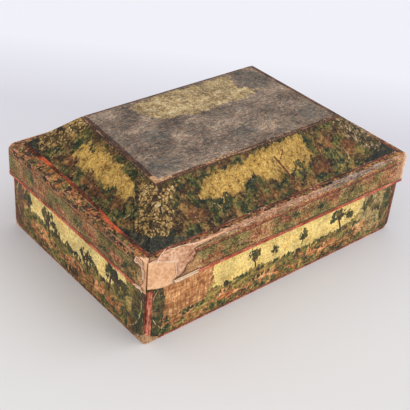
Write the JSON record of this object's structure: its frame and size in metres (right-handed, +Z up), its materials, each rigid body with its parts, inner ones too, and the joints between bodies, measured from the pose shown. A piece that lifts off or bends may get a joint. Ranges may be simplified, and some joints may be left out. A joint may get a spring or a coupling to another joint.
{
  "type": "wig box with lift-off hipped lid",
  "caption": "Long rectangular pasteboard box covered in painted paper, with a deep lift-off lid that has an upright skirt, a narrow ledge, four sloping sides and a flat top.",
  "frame": {"origin": "centre of the underside of the tray, on the surface that the box stands on", "axes": "+Z up, the long side along X, the front towards -Y, and the torn corner of the lid at -X, -Y"},
  "size_m": [0.3568, 0.2468, 0.1392],
  "materials": {
    "board": "matt, layered and fibrous, pinkish buff where it is torn bare",
    "landscape_paper": "painted and varnished, satin, crazed and rubbed",
    "skirt_paper": "painted and varnished, satin, mottled and worn",
    "ledge_paper": "painted and varnished, rubbed through at the edge",
    "slope_paper": "painted and varnished, satin",
    "top_paper": "painted and varnished, dulled by wear",
    "red_strip": "painted, satin, chipped along the edges",
    "dark_strip": "painted, satin, with pale worn spots",
    "lining_paper": "plain, matt, yellowed with age"
  },
  "bodies": {
    "tray": {"tray_floor_board": "board", "tray_wall_front": "board", "tray_wall_right": "board", "tray_wall_back": "board", "tray_wall_left": "board", "tray_paper_front": "landscape_paper", "tray_paper_right": "landscape_paper", "tray_paper_back": "landscape_paper", "tray_paper_left": "landscape_paper", "tray_floor_lining": "lining_paper", "tray_lining_front": "lining_paper", "tray_lining_right": "lining_paper", "tray_lining_back": "lining_paper", "tray_lining_left": "lining_paper", "tray_corner_strip_front_left": "red_strip", "tray_corner_strip_front_right": "red_strip", "tray_corner_strip_back_right": "red_strip", "tray_corner_strip_back_left": "red_strip", "tray_foot_strip": "red_strip", "tray_rim_binding": "red_strip"},
    "lid": {"skirt_board_front": "board", "skirt_board_right": "board", "skirt_board_back": "board", "skirt_board_left": "board", "skirt_paper_front": "skirt_paper", "skirt_paper_right": "skirt_paper", "skirt_paper_back": "skirt_paper", "skirt_paper_left": "skirt_paper", "skirt_lining_front": "lining_paper", "skirt_lining_right": "lining_paper", "skirt_lining_back": "lining_paper", "skirt_lining_left": "lining_paper", "ledge_board_front": "board", "ledge_board_right": "board", "ledge_board_back": "board", "ledge_board_left": "board", "ledge_paper_front": "ledge_paper", "ledge_paper_right": "ledge_paper", "ledge_paper_back": "ledge_paper", "ledge_paper_left": "ledge_paper", "slope_board_front": "board", "slope_board_right": "board", "slope_board_back": "board", "slope_board_left": "board", "slope_paper_front": "slope_paper", "slope_paper_right": "slope_paper", "slope_paper_back": "slope_paper", "slope_paper_left": "slope_paper", "slope_lining_front": "lining_paper", "slope_lining_right": "lining_paper", "slope_lining_back": "lining_paper", "slope_lining_left": "lining_paper", "top_board": "board", "top_paper": "top_paper", "top_lining": "lining_paper", "lid_edge_strip": "red_strip", "slope_foot_strip": "red_strip", "top_edge_strip": "dark_strip"}
  },
  "joints": [
    {"name": "lid_lift", "type": "slide", "parent": "tray", "child": "lid", "axis": [0, 0, 1], "range_m": [0, 0.15]}
  ]
}
